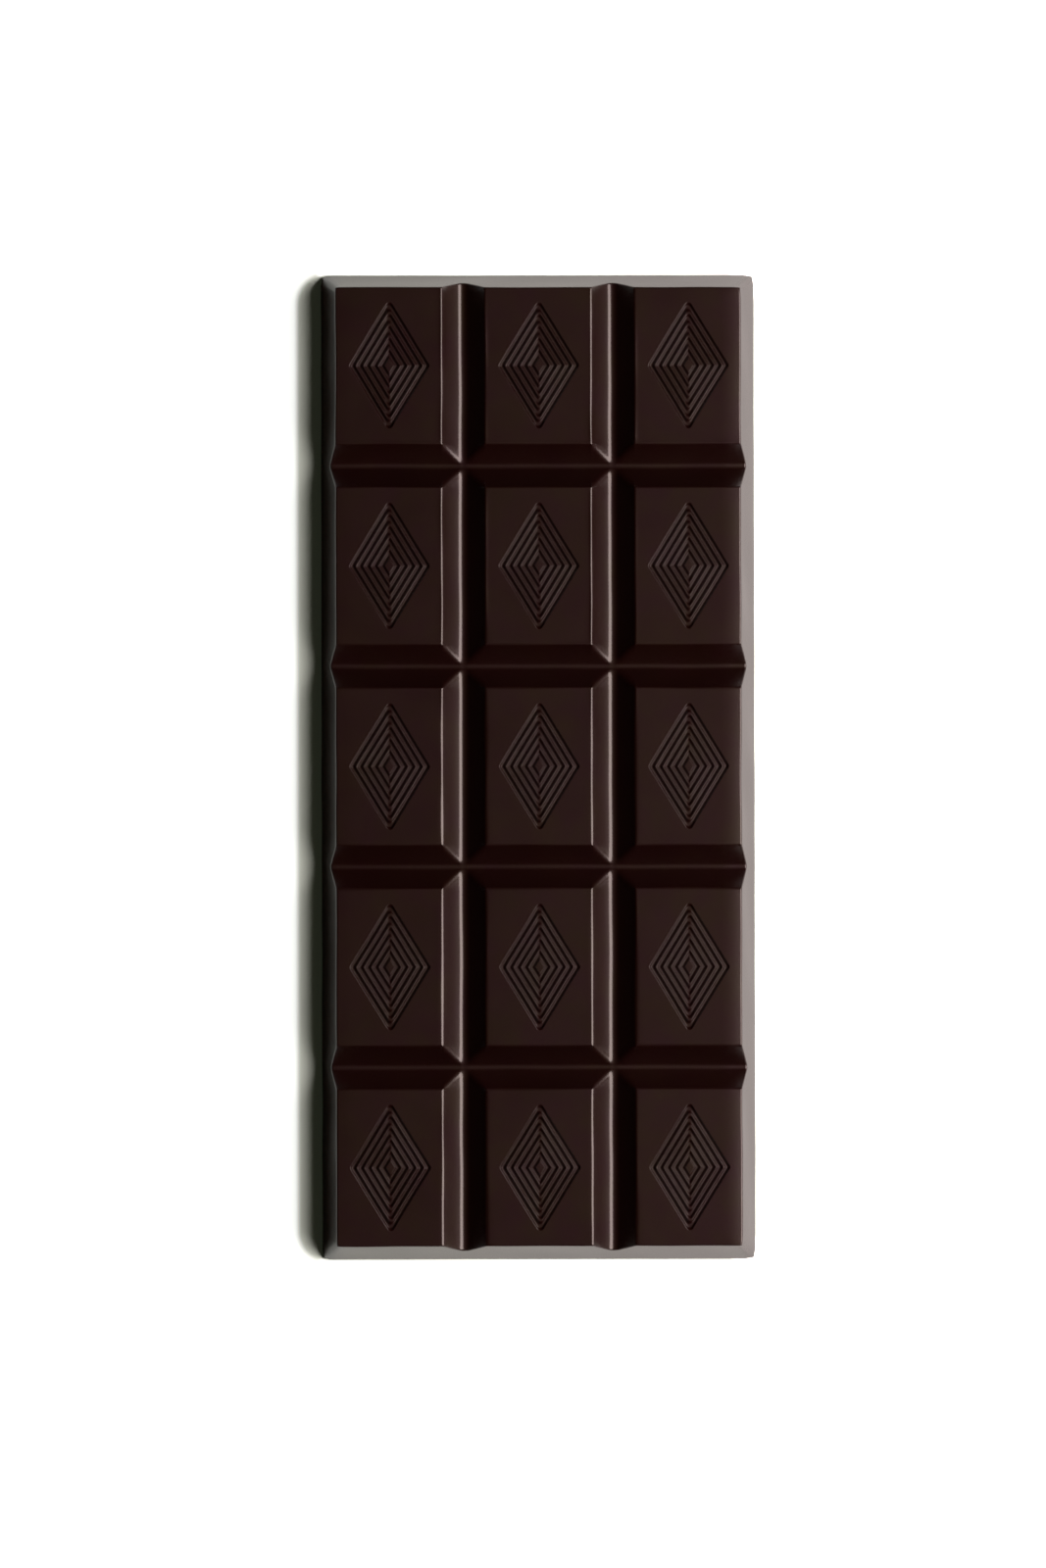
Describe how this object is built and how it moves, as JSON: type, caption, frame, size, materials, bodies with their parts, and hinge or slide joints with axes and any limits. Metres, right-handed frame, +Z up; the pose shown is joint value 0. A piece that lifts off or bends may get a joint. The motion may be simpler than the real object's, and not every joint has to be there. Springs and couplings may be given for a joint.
{
  "type": "chocolate bar",
  "caption": "Flat bar of dark chocolate, scored by bevelled grooves into rectangular pieces, each engraved with nested lozenges, for breaking apart and eating.",
  "frame": {"origin": "centre of the flat base", "axes": "+Z up from the base to the engraved faces, +Y along the bar's length, +X across it"},
  "size_m": [0.0688, 0.1562, 0.008],
  "materials": {
    "chocolate": "satin"
  },
  "bodies": {
    "root": {"chocolate_bar": "chocolate"}
  },
  "joints": []
}
